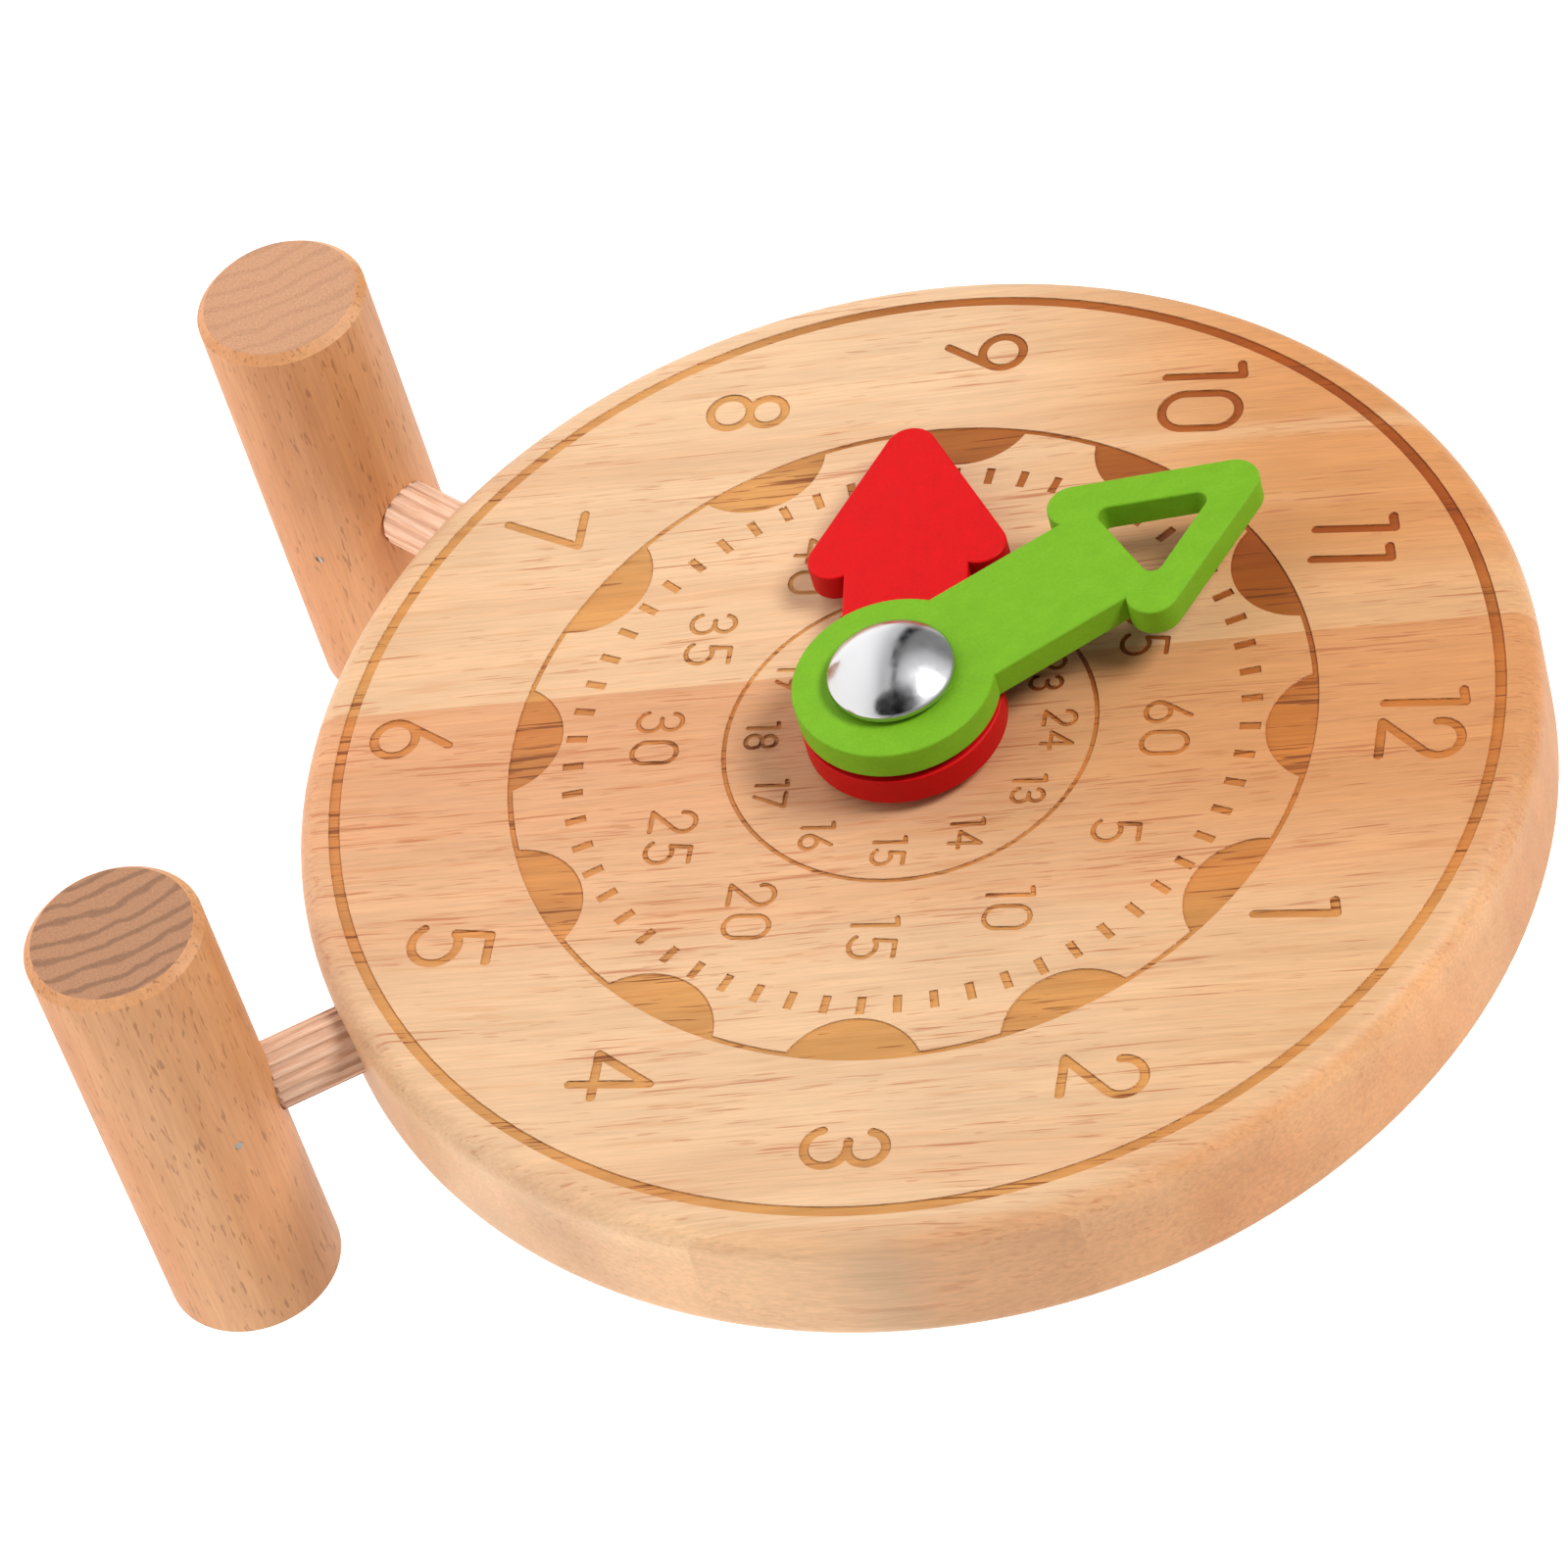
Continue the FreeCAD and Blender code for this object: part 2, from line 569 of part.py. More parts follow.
def hand(name, reach, window):
    """An arrow with a round end, cut from sheet; reach names the cell of its arrowhead's distance."""
    body = new_body(name)
    half_shaft = dim("shaft_width") / 2
    root = dim(reach)
    half = "%s / 2" % cell("shaft_width")
    at_root = (1, root, cell(reach))
    barb_y = (1, root - dim("barb_sweep"), "%s - %s" % (cell(reach), cell("barb_sweep")))
    tip_y = (1, root + dim("head_rise"), "%s + %s" % (cell(reach), cell("head_rise")))
    on_axis = (0, 0.0, "")

    hub = circle_sketch(body, name + "_hub_circle", cell("hub_radius"))
    pad(body, name + "_hub", hub, cell("hand_thickness"))
    shaft = polygon_sketch(body, name + "_shaft_outline", [
        ((-1, half_shaft, half), (0, 0.0, "")),
        ((1, half_shaft, half), (0, 0.0, "")),
        ((1, half_shaft, half), at_root),
        ((-1, half_shaft, half), at_root),
    ])
    pad(body, name + "_shaft", shaft, cell("hand_thickness"))
    barb = dim("barb_half_width")
    head = polygon_sketch(body, name + "_head_outline", [
        ((-1, half_shaft, half), at_root),
        ((1, half_shaft, half), at_root),
        ((1, barb, cell("barb_half_width")), barb_y),
        (on_axis, tip_y),
        ((-1, barb, cell("barb_half_width")), barb_y),
    ])
    solid = pad(body, name + "_head", head, cell("hand_thickness"))
    doc.recompute()
    corners = [(-barb, barb_y[1]), (barb, barb_y[1]), (0.0, tip_y[1])]
    names = edge_names(solid, upright_at(corners))
    solid = fillet(body, name + "_corners", solid, names, cell("head_corner"))
    if window:
        base = root + dim("window_base")
        top = base + dim("window_rise")
        base_text = "%s + %s" % (cell(reach), cell("window_base"))
        side = dim("window_half_width")
        outline = polygon_sketch(body, name + "_window_outline", [
            ((-1, side, cell("window_half_width")), (1, base, base_text)),
            ((1, side, cell("window_half_width")), (1, base, base_text)),
            (on_axis, (1, top, "%s + %s" % (base_text, cell("window_rise")))),
        ])
        solid = pocket_through(body, name + "_window", outline)
        doc.recompute()
        names = edge_names(solid, upright_at([(-side, base), (side, base), (0.0, top)]))
        solid = fillet(body, name + "_window_corners", solid, names, cell("window_corner"))
    doc.recompute()

    def outline_edge(edge):
        """True for an edge of the upper or lower face."""
        heights = [v.Point.z for v in edge.Vertexes]
        return max(heights) - min(heights) < 1e-6

    names = edge_names(solid, outline_edge)
    solid = fillet(body, name + "_soft_edges", solid, names, cell("hand_edge_round"))
    doc.recompute()
    before = solid.Shape.Volume
    bore = circle_sketch(body, name + "_bore_circle", cell("hand_bore_radius"))
    pocket_through(body, name + "_bore", bore)
    doc.recompute()
    expected = math.pi * dim("hand_bore_radius") ** 2 * dim("hand_thickness")
    if abs(before - body.Shape.Volume - expected) > 0.02 * expected:
        raise RuntimeError(name + ": the bore did not cut through")
    return body


# ---- pivot ---------------------------------------------------------------------------------------

def stack():
    """Heights above the dial's face of everything on the pivot post, from the dial outwards."""
    play = dim("end_play")
    heights = {}
    z = dim("dial_washer_thickness") + play
    heights["hour_hand"] = z
    z += dim("hand_thickness") + play
    heights["hand_washer"] = z
    z += dim("hand_washer_thickness") + play
    heights["minute_hand"] = z
    z += dim("hand_thickness") + play
    heights["head_washer"] = z
    heights["cap"] = z + dim("head_washer_thickness")
    return heights


def washer(name, outer, inner):
    """A flat ring on z = 0; its thickness is the cell named after it."""
    thickness = cell(name + "_thickness")
    disc = cylinder(name + "_disc", cell(outer), thickness)
    return cut(name, disc, cylinder(name + "_hole", cell(inner), thickness))


def dome(name, radius, rise):
    """A spherical cap standing on z = 0, its radius and rise given as numbers."""
    ball_radius = (radius ** 2 + rise ** 2) / (2 * rise)
    ball = bind(doc.addObject("Part::Sphere", name + "_ball"), {"Radius": "%.6f" % ball_radius})
    ball.Placement = lifted(rise - ball_radius)
    return common(name, ball, cylinder(name + "_limit", "%g" % radius, "%g" % rise))


def pivot_post(cap_z):
    """A domed head on a hollow post that goes through the hands and the dial."""
    end = -dim("dial_thickness") + dim("post_recess")
    crown = dome("cap_dome", dim("cap_radius"), dim("cap_rise"))
    crown.Placement = lifted(cap_z + dim("cap_rim"))
    rim = cylinder("cap_rim_disc", cell("cap_radius"), cell("cap_rim"), lifted(cap_z))
    post = cylinder("post_barrel", cell("post_radius"), "%.6f" % (cap_z - end), lifted(end))
    solid = joined("post_solid", [crown, rim, post])
    thread = cylinder("post_thread", cell("screw_radius"), cell("screw_length"), lifted(end))
    return cut("pivot_post", solid, thread)


def pivot_screw(face_z):
    """A pan-head screw with a cross recess, its head under face_z and its shank going up."""
    head_height = dim("screw_head_height")
    crown = dome("screw_dome", dim("screw_head_radius"), head_height / 2)
    crown.Placement = lifted(head_height / 2)
    flat = cylinder("screw_head", cell("screw_head_radius"), cell("screw_head_height") + " / 2")
    shank = cylinder("screw_shank", cell("screw_radius"), cell("screw_length"),
                     lifted(-dim("screw_length")))
    floor = head_height - dim("cross_depth")
    corner = lifted(floor, -dim("cross_length") / 2, -dim("cross_width") / 2)
    slots = []
    for i in range(2):
        slots.append(box("cross_slot_%d" % i, cell("cross_length"), cell("cross_width"),
                         cell("cross_depth"), turned(90 * i) * corner))
    solid = joined("screw_solid", [crown, flat, shank])
    screw = cut("pivot_screw", solid, joined("cross_recess", slots))
    upside_down = Placement(Vector(0, 0, face_z), Rotation(Vector(1, 0, 0), 180))
    return screw, upside_down


def pivot_pieces():
    heights = stack()
    back = -dim("dial_thickness")
    under_washer = back - dim("back_washer_thickness")
    return [
        (washer("dial_washer", "washer_radius", "post_radius"), Placement()),
        (washer("hand_washer", "washer_radius", "post_radius"), lifted(heights["hand_washer"])),
        (washer("head_washer", "washer_radius", "post_radius"), lifted(heights["head_washer"])),
        (pivot_post(heights["cap"]), Placement()),
        (washer("back_washer", "back_washer_radius", "screw_radius"), lifted(under_washer)),
        pivot_screw(under_washer),
        (hand("hour_hand", "hour_reach", window=False),
         lifted(heights["hour_hand"]) * turned(-HOUR_HAND_ANGLE)),
        (hand("minute_hand", "minute_reach", window=True),
         lifted(heights["minute_hand"]) * turned(-MINUTE_HAND_ANGLE)),
    ]


# ---- assembly ------------------------------------------------------------------------------------

def main():
    pieces = dial_boards() + foot_pieces(-1, "left") + foot_pieces(1, "right") + pivot_pieces()
    centre = Vector(0, -dim("dial_face_setback"), dim("dial_height"))
    stand = Placement(centre, Rotation(Vector(1, 0, 0), 90))
    for piece, place in pieces:
        piece.Label = piece.Name
        piece.Placement = stand * place
    doc.recompute()

    for obj in doc.Objects:
        if "Invalid" in obj.State or "Error" in obj.State:
            raise RuntimeError("%s is %s" % (obj.Name, obj.State))
    for piece, _ in pieces:
        shape = piece.Shape
        if shape.isNull() or not shape.isValid():
            raise RuntimeError(piece.Label + " has no valid shape")
        if len(shape.Solids) != 1:
            raise RuntimeError("%s has %d solids" % (piece.Label, len(shape.Solids)))

    os.makedirs("parts", exist_ok=True)
    whole = FreeCAD.BoundBox()
    for piece, _ in pieces:
        piece.Shape.exportStep("parts/%s.step" % piece.Label)
        whole.add(piece.Shape.optimalBoundingBox())
        print("%-18s %9.1f mm3" % (piece.Label, piece.Shape.Volume))
    print("box %.2f %.2f %.2f to %.2f %.2f %.2f" % (whole.XMin, whole.YMin, whole.ZMin,
                                                     whole.XMax, whole.YMax, whole.ZMax))


main()
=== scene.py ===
"""Looks of the wooden teaching clock: lacquered wood, painted hands, a chromed pivot cap, floor and light.

Lengths are metres in the scene and millimetres inside the materials' textures.
"""

import math

import bmesh
import bpy
from mathutils import Euler, Matrix, Vector


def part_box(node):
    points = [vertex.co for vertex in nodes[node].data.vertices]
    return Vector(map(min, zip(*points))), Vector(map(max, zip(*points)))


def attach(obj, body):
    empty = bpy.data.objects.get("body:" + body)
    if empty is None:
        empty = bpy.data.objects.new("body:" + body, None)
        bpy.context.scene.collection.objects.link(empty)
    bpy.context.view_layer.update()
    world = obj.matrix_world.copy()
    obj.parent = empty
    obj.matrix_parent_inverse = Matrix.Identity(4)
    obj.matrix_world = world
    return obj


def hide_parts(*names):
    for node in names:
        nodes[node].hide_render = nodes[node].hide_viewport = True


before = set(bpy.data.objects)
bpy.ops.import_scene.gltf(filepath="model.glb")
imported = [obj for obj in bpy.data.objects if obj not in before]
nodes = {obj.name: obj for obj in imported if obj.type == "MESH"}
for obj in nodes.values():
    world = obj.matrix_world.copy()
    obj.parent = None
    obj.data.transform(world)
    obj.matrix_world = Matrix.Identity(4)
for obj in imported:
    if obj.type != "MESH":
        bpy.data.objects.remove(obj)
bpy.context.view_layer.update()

MM = 0.001
BOARD_TILT = math.radians(5)

face_low, face_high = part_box("dial_board_middle")
DIAL_CENTRE = Vector((0, face_low.y, (face_low.z + face_high.z) / 2))
ORIGIN = Vector((0, 0, 0))

# A smooth step's start and end where it falls.
FALLING = (1.0, 0.0)

# Ranges of a noise's values. Most of them lie in the middle.
MIDDLE = (0.3, 0.7)
WIDE = (0.25, 0.75)
WIDEST = (0.2, 0.8)


# ---- material helpers ------------------------------------------------------------------------------

def shade(red, green, blue):
    """A linear colour from the 0 to 255 values that a screen shows."""
    def linear(value):
        value /= 255
        return value / 12.92 if value <= 0.04045 else ((value + 0.055) / 1.055) ** 2.4
    return (linear(red), linear(green), linear(blue), 1.0)


class Graph:
    """Short ways to add shader nodes to a node tree."""

    def __init__(self, tree):
        self.tree = tree
        self.coordinates = self.add("ShaderNodeTexCoord")

    def add(self, kind, **settings):
        node = self.tree.nodes.new(kind)
        for name, value in settings.items():
            setattr(node, name, value)
        return node

    def feed(self, socket, value):
        """Joins a socket to another node's output, or sets it to a plain value."""
        if isinstance(value, bpy.types.NodeSocket):
            self.tree.links.new(value, socket)
        else:
            socket.default_value = value

    def fed(self, kind, *values, **settings):
        """A new node with its first inputs fed."""
        node = self.add(kind, **settings)
        for socket, value in zip(node.inputs, values):
            self.feed(socket, value)
        return node

    def math(self, operation, *values):
        return self.fed("ShaderNodeMath", *values, operation=operation).outputs[0]

    def product(self, first, *others):
        for other in others:
            first = self.math("MULTIPLY", first, other)
        return first

    def place(self, centre, turn=0.0):
        """Millimetres from a point of the frame, in axes turned about Y: x across, y into, z along."""
        spin = Euler((0, turn, 0))
        node = self.add("ShaderNodeMapping")
        node.inputs["Scale"].default_value = (1 / MM, 1 / MM, 1 / MM)
        node.inputs["Rotation"].default_value = spin
        node.inputs["Location"].default_value = spin.to_matrix() @ (-centre / MM)
        self.tree.links.new(self.coordinates.outputs["Object"], node.inputs["Vector"])
        return node.outputs[0]

    def parts(self, vector):
        return self.fed("ShaderNodeSeparateXYZ", vector).outputs

    def joined(self, x, y, z):
        return self.fed("ShaderNodeCombineXYZ", x, y, z).outputs[0]

    def length(self, vector):
        return self.fed("ShaderNodeVectorMath", vector, operation="LENGTH").outputs["Value"]

    def scaled(self, vector, sizes, shift):
        """The vector measured in cells of the given sizes, so that a texture's features have them."""
        node = self.add("ShaderNodeMapping")
        node.inputs["Scale"].default_value = [1 / size for size in sizes]
        node.inputs["Location"].default_value = shift
        self.tree.links.new(vector, node.inputs["Vector"])
        return node.outputs[0]

    def noise(self, vector, sizes, detail=2.0, roughness=0.5, shift=(0, 0, 0)):
        """Noise from 0 to 1 whose features have the given sizes along the vector's axes."""
        node = self.add("ShaderNodeTexNoise")
        self.tree.links.new(self.scaled(vector, sizes, shift), node.inputs["Vector"])
        node.inputs["Scale"].default_value = 1.0
        node.inputs["Detail"].default_value = detail
        node.inputs["Roughness"].default_value = roughness
        return node.outputs[0]

    def step(self, value, low, high, start=0.0, end=1.0):
        """A smooth step from start to end as the value goes from low to high."""
        return self.fed("ShaderNodeMapRange", value, low, high, start, end,
                        interpolation_type="SMOOTHSTEP").outputs[0]

    def mix(self, share, first, second, blend="MIX"):
        """The first colour, changed towards the second by a share from 0 to 1."""
        node = self.add("ShaderNodeMix", data_type="RGBA", blend_type=blend)
        self.feed(node.inputs[0], share)
        self.feed(node.inputs[6], first)
        self.feed(node.inputs[7], second)
        return node.outputs[2]

    def multiplied(self, colour, tint):
        return self.mix(1.0, colour, tint, blend="MULTIPLY")

    def tinted(self, colour, tint, share):
        """A colour changed towards its product with a tint, by a share from 0 to 1."""
        return self.mix(share, colour, self.multiplied(colour, tint))

    def lighten(self, colour, amount):
        """A colour made lighter or darker: the amount is 1 for no change."""
        return self.multiplied(colour, self.joined(amount, amount, amount))

    def varied(self, colour, texture, spread, start, end):
        """A colour lightened by start where the texture is below the spread, and by end above it."""
        return self.lighten(colour, self.step(texture, *spread, start, end))


class Surface(Graph):
    """A material under construction."""

    def __init__(self, name):
        self.material = bpy.data.materials.new(name)
        self.material.use_nodes = True
        super().__init__(self.material.node_tree)
        self.shader = self.tree.nodes["Principled BSDF"]

    def facing(self):
        """How squarely the surface faces the dial's front or back, from 0 to 1."""
        return self.math("ABSOLUTE", self.parts(self.coordinates.outputs["Normal"])[1])

    def facing_front(self, share):
        """The surface's normal, turned towards the dial's front by a share from 0 to 1."""
        normal = self.add("ShaderNodeNewGeometry").outputs["Normal"]
        rest = self.math("SUBTRACT", 1.0, share)
        front = self.joined(0.0, self.product(share, -1.0), 0.0)
        turned = self.fed("ShaderNodeVectorMath", normal, self.joined(rest, rest, rest), front,
                          operation="MULTIPLY_ADD")
        return turned.outputs[0]

    def bump(self, height, distance_mm, strength, normal=None):
        """A bump from a height between 0 and 1, on the surface's own normal or another."""
        node = self.add("ShaderNodeBump")
        if normal is not None:
            self.feed(node.inputs["Normal"], normal)
        node.inputs["Strength"].default_value = strength
        node.inputs["Distance"].default_value = distance_mm * MM
        self.tree.links.new(height, node.inputs["Height"])
        self.tree.links.new(node.outputs[0], self.shader.inputs["Normal"])

    def finish(self, colour, roughness, **constants):
        """Feeds the shader and returns the material."""
        self.feed(self.shader.inputs["Base Color"], colour)
        self.feed(self.shader.inputs["Roughness"], roughness)
        for name, value in constants.items():
            self.shader.inputs[name.replace("_", " ")].default_value = value
        return self.material


# ---- the dial's boards -----------------------------------------------------------------------------

PALE_WOOD = shade(219, 181, 142)
ROSY_WOOD = shade(207, 152, 110)
TAN_WOOD = shade(205, 147, 96)
PORE_BROWN = shade(168, 92, 52)
STREAK_BROWN = shade(197, 134, 88)
BURNT_PORE = shade(104, 56, 24)

# Tints that multiply a colour, and how much the walls of the marks are lightened: painted light that cancels
# the shade in the marks' walls.
BURNT_TINT = (0.81, 0.59, 0.30, 1.0)
DEEP_BURN = (0.62, 0.40, 0.22, 1.0)
UPPER_TINT = (0.99, 0.91, 0.81, 1.0)
RIM_GLOW = (1.24, 1.20, 1.13, 1.0)
RIM_BLUSH = (1.10, 0.95, 0.84, 1.0)
WALL_PAINTED_LIGHT = 2.2

# Sizes of the grain's features: across the boards, into them and along them.
WANDER_SIZE, WANDER = (40, 40, 90), 5.0
BAND_SIZE = (4, 10, 220)
CLOUD_SIZE = (9, 9, 26)
FIBRE_SIZE = (0.3, 0.5, 11)
CROWD_SIZE = (5, 7, 34)
LONG_PORE_SIZE = (0.5, 0.8, 19)
SHORT_PORE_SIZE = (0.36, 0.5, 6)
STREAK_SIZE = (0.9, 2.0, 17)
SCORCH_SIZE = (6, 6, 30)

# The middle board's heart, across the grain: where it starts, and where it fades out.
HEART_START, HEART_END = (-11.0, -9.0), (14.0, 36.0)

# A pore shows where the noise of pores is over its rarity.
SPARSE, CROWDED, RARITY_LESS_IN_HEART = 0.71, 0.60, 0.03
PORE_SHARE, DASH_SHARE, PORES_OFF_FACE = 0.62, 0.6, 0.35

# Distances from the dial's centre where a look changes. The lobes are the half rounds at the hours.
FACE_EDGE = (66.5, 69.0)
RIM = (67.5, 69.5)
OUTER_RING = (66.5, 66.8)
LOBE_INNER, LOBE_OUTER, LOBE_SOFTNESS = 39.7, 46.0, 0.2

# Depths behind the dial's face where a look changes.
FACE_DEPTH = (1.0, 4.0)
MARK_WALL, MARK_FLOOR, BELOW_MARKS = (0.01, 0.03), (0.04, 0.12), (0.3, 0.4)

# How far up the grain the dial's upper part deepens, and the way to 10 on the dial: across and up.
UPPER_PART = (5.0, 50.0)
TEN_O_CLOCK = (-0.87, 0.5)


def board_wood(name, seed, tones):
    """Lacquered rubberwood, its grain along the boards. tones gives the shares of rosy and tan wood."""
    s = Surface(name)
    shift = (seed, seed, seed)
    grain = s.place(DIAL_CENTRE, BOARD_TILT)
    x, y, z = s.parts(grain)
    wander = s.noise(grain, WANDER_SIZE, detail=1, shift=shift)
    bent = s.joined(s.math("MULTIPLY_ADD", wander, WANDER, x), y, z)
    across, depth, up = s.parts(s.place(DIAL_CENTRE))
    radius = s.length(s.joined(across, 0.0, up))
    on_face = s.product(s.step(depth, *FACE_DEPTH, *FALLING), s.step(radius, *FACE_EDGE, 1.0, 0.35))

    rosy, tan = tones(s, x, z, y, shift)
    colour = s.mix(rosy, PALE_WOOD, ROSY_WOOD)
    colour = s.mix(tan, colour, TAN_WOOD)
    colour = s.tinted(colour, UPPER_TINT, s.step(z, *UPPER_PART))
    bands = s.noise(bent, BAND_SIZE, detail=3, roughness=0.6, shift=shift)
    colour = s.varied(colour, bands, MIDDLE, 0.94, 1.04)
    clouds = s.noise(bent, CLOUD_SIZE, detail=3, roughness=0.55, shift=(seed, seed + 3, seed))
    colour = s.varied(colour, clouds, MIDDLE, 0.96, 1.03)
    fibres = s.noise(bent, FIBRE_SIZE, detail=4, roughness=0.7, shift=shift)
    colour = s.varied(colour, fibres, (0.34, 0.66), 0.91, 1.06)

    colour, pores = porous(s, colour, bent, x, on_face, seed)
    colour = rim_tints(s, colour, across, up, radius)
    burnt = burnt_wood(s, colour, pores, bent, across, up, radius, seed)

    above = s.step(depth, *BELOW_MARKS, *FALLING)
    within_rings = s.step(radius, *OUTER_RING, *FALLING)
    engraved = s.product(s.step(depth, *MARK_FLOOR), above, within_rings)
    mark_walls = s.product(s.step(depth, *MARK_WALL), above, within_rings,
                           s.step(s.facing(), 0.5, 0.9, *FALLING))
    # The marks' walls: half burnt, then lightened by painted light, so that they lose the shade of their
    # depth and the marks get soft edges.
    wall_painted_light_colour = s.lighten(s.mix(0.5, colour, burnt), WALL_PAINTED_LIGHT)
    colour = s.mix(engraved, colour, burnt)
    colour = s.mix(mark_walls, colour, wall_painted_light_colour)

    relief = s.math("SUBTRACT", s.product(fibres, 0.35), pores)
    s.bump(relief, distance_mm=0.03, strength=0.5, normal=s.facing_front(mark_walls))
    rough = s.step(fibres, *WIDEST, 0.44, 0.54)
    return s.finish(colour, rough, Specular_IOR_Level=0.25)


def porous(s, colour, bent, x, on_face, seed):
    """Adds brown streaks, blushes and open pores, crowded in places; returns the colour and the pores."""
    crowd = s.noise(bent, CROWD_SIZE, detail=2, roughness=0.6, shift=(seed, seed, seed + 5))
    heart = s.product(s.step(x, *HEART_START), s.step(x, *HEART_END, *FALLING))
    rarity = s.math("SUBTRACT", s.step(crowd, 0.3, 0.65, SPARSE, CROWDED),
                    s.product(heart, RARITY_LESS_IN_HEART))
    long_pores = s.noise(bent, LONG_PORE_SIZE, detail=2, roughness=0.6, shift=(seed + 7, seed, seed))
    over_rarity = s.math("SUBTRACT", long_pores, rarity)
    open_pores = s.step(over_rarity, 0.0, 0.05)
    short_pores = s.noise(bent, SHORT_PORE_SIZE, detail=1, roughness=0.5, shift=(seed + 9, seed, seed))
    dashes = s.step(s.math("SUBTRACT", short_pores, s.math("ADD", rarity, 0.02)), 0.0, 0.04)

    streaks = s.noise(bent, STREAK_SIZE, detail=2, roughness=0.6, shift=(seed + 13, seed, seed))
    streak_share = s.product(s.step(streaks, 0.54, 0.68), s.step(heart, 0.0, 1.0, 0.28, 0.6), on_face)
    colour = s.mix(streak_share, colour, STREAK_BROWN)
    blush = s.product(s.step(over_rarity, -0.07, 0.03), on_face)
    colour = s.mix(s.product(blush, 0.35), colour, ROSY_WOOD)
    pores = s.math("MAXIMUM", open_pores, s.product(dashes, DASH_SHARE))
    pores = s.product(pores, s.step(on_face, 0.0, 1.0, PORES_OFF_FACE, 1.0))
    return s.mix(s.product(pores, PORE_SHARE), colour, PORE_BROWN), pores


def rim_tints(s, colour, across, up, radius):
    """The rim is rosier at its upper right and paler at its lower right."""
    rim = s.step(radius, *RIM)
    upper_right = s.product(rim, s.step(up, 4.0, 14.0), s.step(across, 12.0, 36.0))
    colour = s.tinted(colour, RIM_BLUSH, upper_right)
    lower_right = s.product(rim, s.step(up, -2.0, 8.0, *FALLING), s.step(up, -34.0, -14.0),
                            s.step(across, 30.0, 50.0))
    return s.tinted(colour, RIM_GLOW, lower_right)


def burnt_wood(s, colour, pores, bent, across, up, radius, seed):
    """The colour of the burnt marks on wood of a colour, deepest towards 10 o'clock."""
    burnt = s.multiplied(colour, BURNT_TINT)
    lobes = s.product(s.step(radius, LOBE_INNER, LOBE_INNER + LOBE_SOFTNESS),
                      s.step(radius, LOBE_OUTER - LOBE_SOFTNESS, LOBE_OUTER, *FALLING))
    burnt = s.varied(burnt, lobes, (0.0, 1.0), 1.02, 1.0)
    scorch = s.noise(bent, SCORCH_SIZE, detail=3, roughness=0.6, shift=(seed + 2, seed, seed))
    burnt = s.varied(burnt, scorch, MIDDLE, 0.88, 1.1)
    ten_across, ten_up = TEN_O_CLOCK
    along_ten = s.math("ADD", s.product(across, ten_across), s.product(up, ten_up))
    burnt = s.tinted(burnt, DEEP_BURN, s.step(s.math("DIVIDE", along_ten, radius), 0.5, 0.86))
    return s.mix(s.product(pores, 0.7), burnt, BURNT_PORE)


def left_board(s, x, z, y, shift):
    """A pale board, with tan bands that deepen towards its upper end."""
    bands = s.noise(s.joined(x, 0.0, s.product(z, 0.06)), (7, 7, 7), detail=1, shift=shift)
    upper = s.step(z, -2.0, 44.0)
    away_from_joint = s.step(x, -26.0, -12.0, 0.98, 0.25)
    near_joint = s.step(x, -34.0, -12.0, 0.0, 0.12)
    tan = s.math("ADD", s.product(s.step(bands, 0.2, 0.5), upper, away_from_joint), near_joint)
    return s.step(bands, 0.5, 0.8, 0.0, 0.3), tan


def middle_board(s, x, z, y, shift):
    """Rosy along its glue joint and down inside, then paler with a few rosy bands, and tan above the hub:
    partly the wood's own tone, partly painted shade.
    """
    by_joint = s.step(x, -2.0, 42.0, 0.95, 0.0)
    inside = s.step(y, 2.0, 8.0, 0.0, 0.3)
    bands = s.noise(s.joined(x, 0.0, 0.0), (9, 9, 9), shift=shift)
    rosy = s.math("ADD", s.math("ADD", by_joint, inside), s.step(bands, 0.4, 0.8, 0.0, 0.4))
    streaks = s.noise(s.joined(x, 0.0, s.product(z, 0.03)), (2.2, 2.2, 2.2), detail=2, shift=shift)
    tan = s.product(s.step(streaks, 0.5, 0.75), s.step(x, 5.0, 35.0, 0.8, 0.15),
                    s.step(z, -60.0, 50.0, 0.4, 1.0))
    # Tan above the hub: partly the wood's own tone, partly painted shade from the hands near the hub.
    tan_and_painted_shade_above_hub = s.product(s.step(z, 0.0, 30.0), s.step(x, 8.0, 28.0, 0.7, 0.0))
    return rosy, s.math("MAXIMUM", tan, tan_and_painted_shade_above_hub)


def right_board(s, x, z, y, shift):
    """A narrow pale strip."""
    return s.step(x, 66, 70, 0.35, 0.25), 0.0


# ---- feet and dowels -------------------------------------------------------------------------------

BEECH_PALE = shade(208, 152, 105)
BEECH_DARK = shade(194, 133, 83)
FLECK_BROWN = shade(132, 82, 48)

# Each foot's end grain: its tone, and how deep its growth lines show.
END_GRAIN = {"left": (shade(183, 136, 103), 0.08), "right": (shade(164, 119, 88), 0.32)}
GROWTH_CENTRE = (32.0, 18.0)
GROWTH_RATE, GROWTH_WOBBLE = 2.6, 7.0

BEECH_BROAD_SIZE = (6, 60, 6)
BEECH_FIBRE_SIZE = (0.4, 9, 0.4)
BEECH_FLECK_SIZE = (0.42, 2.8, 0.42)
BEECH_SPECK_SIZE = (0.3, 2, 0.3)

# The right dowel is this much darker, in screen values: painted shade.
RIGHT_DOWEL_PAINTED_SHADE = 18.0


